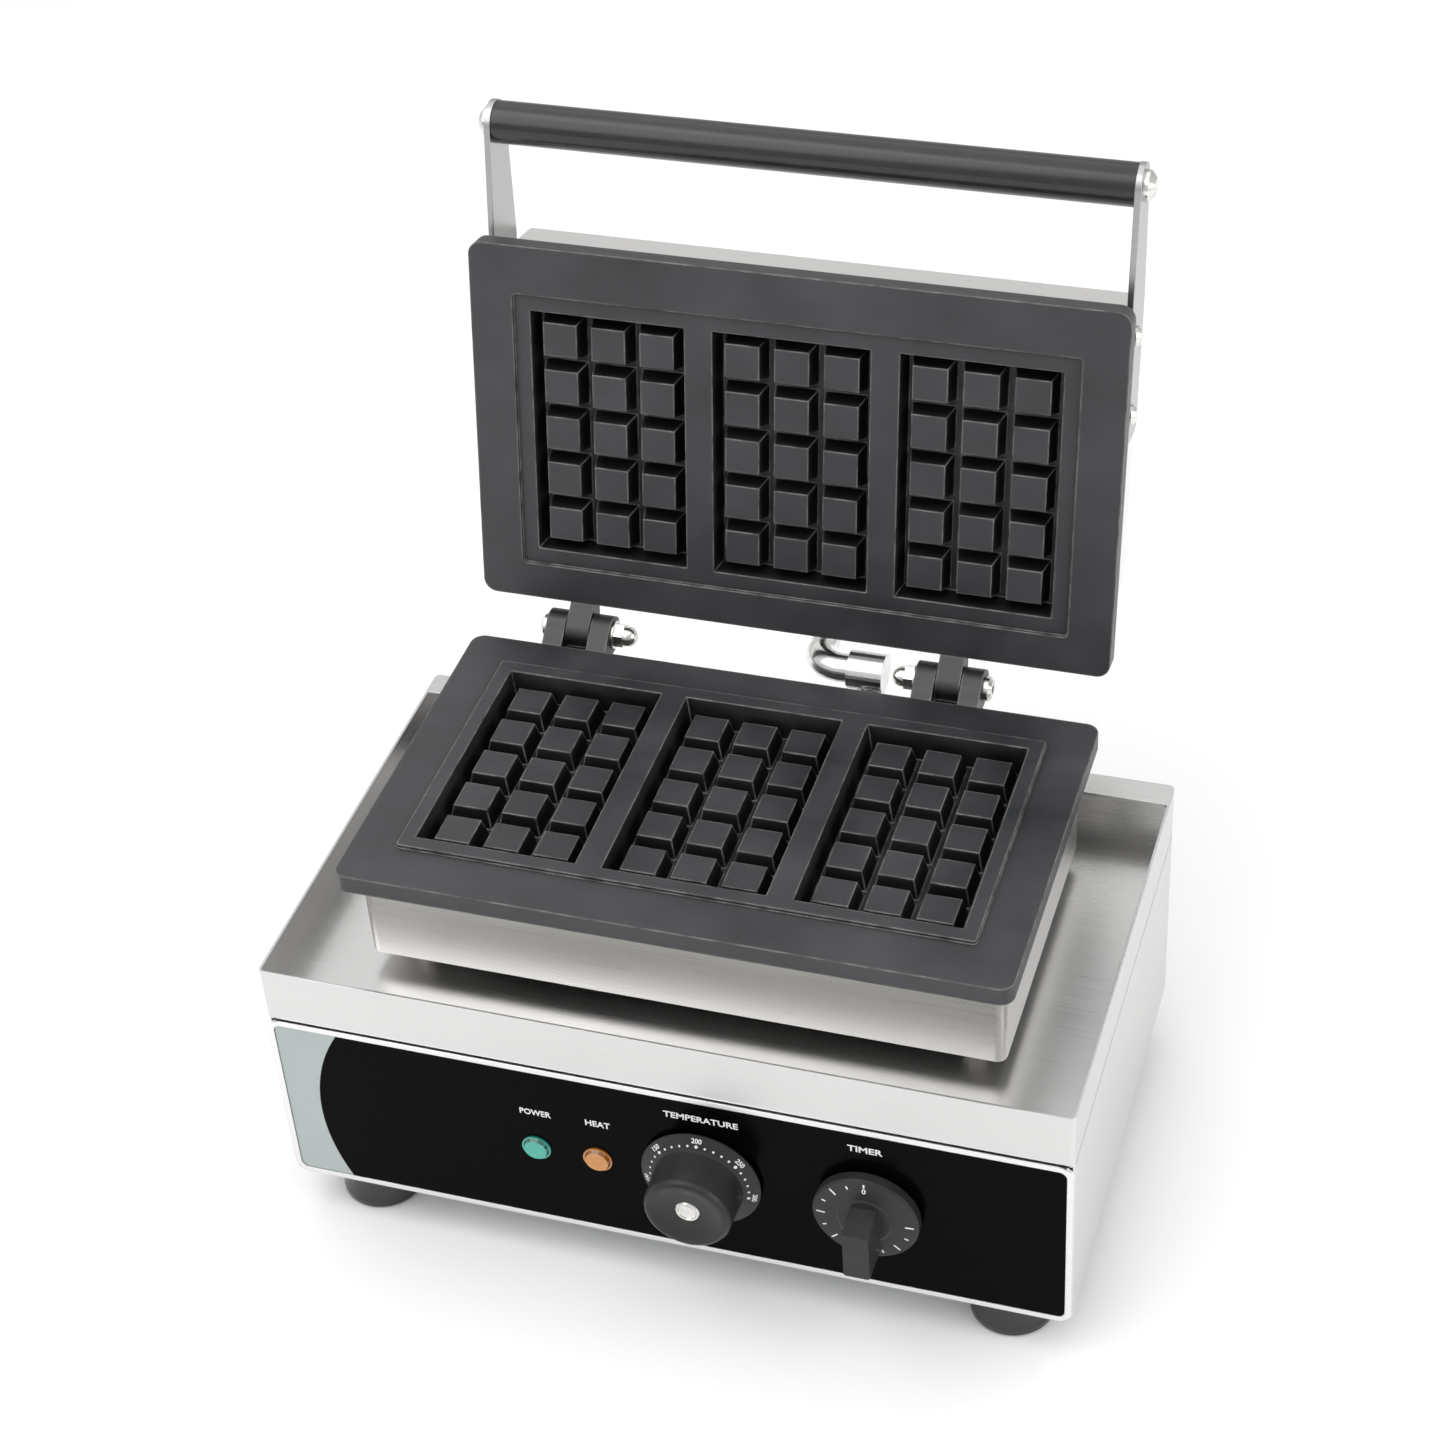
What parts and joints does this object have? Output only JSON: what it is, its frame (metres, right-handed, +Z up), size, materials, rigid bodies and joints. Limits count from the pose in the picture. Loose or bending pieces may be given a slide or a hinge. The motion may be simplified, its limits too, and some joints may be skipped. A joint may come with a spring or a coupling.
{
  "type": "waffle maker",
  "caption": "Counter-top electric waffle maker: stainless base with drip tray and control panel, hinged lid with bar handle, cast-iron grid plates.",
  "frame": {"origin": "table level, under the middle of the whole appliance with its lid open", "axes": "+Z up, +X to the user's right, +Y towards the hinges at the back"},
  "size_m": [0.4, 0.3543, 0.4717],
  "materials": {
    "brushed_stainless": "brushed stainless sheet",
    "zinc_sheet": "plated sheet steel",
    "fascia_film": "gloss black film with a grey left end",
    "black_bakelite": "moulded black bakelite, semi-gloss",
    "knob_plastic": "dark grey moulded plastic with white marks",
    "bright_steel": "bright plated steel",
    "polished_tube": "polished stainless tube",
    "green_lens": "translucent green lens",
    "amber_lens": "translucent amber lens",
    "black_plastic": "black moulded plastic",
    "copper": "drawn copper",
    "block_ceramic": "unglazed ceramic",
    "seasoned_iron": "seasoned cast iron, worn bright on its edges",
    "element_sheath": "heat-darkened steel sheath",
    "mineral_wool": "mineral-wool board"
  },
  "bodies": {
    "base": {"body_shell": "brushed_stainless", "bottom_cover": "zinc_sheet", "front_panel": "brushed_stainless", "fascia_overlay": "fascia_film", "top_tray": "brushed_stainless", "foot_front_left": "black_bakelite", "foot_front_right": "black_bakelite", "foot_rear_left": "black_bakelite", "foot_rear_right": "black_bakelite", "foot_screws": "bright_steel", "foot_nuts": "bright_steel", "cover_screws": "bright_steel", "power_lamp_lens": "green_lens", "power_lamp_holder": "black_plastic", "heat_lamp_lens": "amber_lens", "heat_lamp_holder": "black_plastic", "thermostat_body": "zinc_sheet", "sensor_bulb": "copper", "capillary_tube": "copper", "timer_body": "zinc_sheet", "control_screws": "bright_steel", "cord_gland": "black_plastic", "terminal_block": "block_ceramic", "terminal_screws": "bright_steel", "support_spacers": "bright_steel", "support_bolts": "bright_steel", "support_nuts": "bright_steel", "wire_sleeve": "bright_steel", "lower_housing": "brushed_stainless", "lower_plate": "seasoned_iron", "lower_element": "element_sheath", "lower_clamp_plate": "zinc_sheet", "lower_insulation": "mineral_wool", "lower_clamp_screws": "bright_steel", "lower_tie_bolts": "bright_steel", "hinge_pin_left": "bright_steel", "hinge_pin_right": "bright_steel", "hinge_nut_left": "bright_steel", "hinge_nut_right": "bright_steel", "hinge_washers": "bright_steel", "lower_conduit": "polished_tube", "lower_conduit_nuts": "bright_steel"},
    "lid": {"upper_plate": "seasoned_iron", "upper_housing": "brushed_stainless", "upper_element": "element_sheath", "upper_clamp_plate": "zinc_sheet", "upper_insulation": "mineral_wool", "upper_clamp_screws": "bright_steel", "upper_tie_bolts": "bright_steel", "handle_arms": "brushed_stainless", "handle_grip": "black_bakelite", "handle_rod": "bright_steel", "handle_fasteners": "bright_steel", "upper_conduit": "polished_tube", "upper_conduit_nut": "bright_steel"},
    "thermostat_dial": {"thermostat_knob": "knob_plastic", "thermostat_knob_cap": "bright_steel", "thermostat_shaft": "bright_steel"},
    "timer_dial": {"timer_knob": "knob_plastic", "timer_shaft": "bright_steel"}
  },
  "joints": [
    {"name": "lid_hinge", "type": "hinge", "parent": "base", "child": "lid", "pos_m": [0, 0.0832, 0.2115], "axis": [1, 0, 0], "range_deg": [0, 100]},
    {"name": "thermostat_turn", "type": "hinge", "parent": "base", "child": "thermostat_dial", "pos_m": [0.0198, -0.15, 0.08], "axis": [0, -1, 0], "range_deg": [-200, 100]},
    {"name": "timer_turn", "type": "hinge", "parent": "base", "child": "timer_dial", "pos_m": [0.1025, -0.15, 0.08], "axis": [0, -1, 0], "range_deg": [-270, 0]}
  ]
}
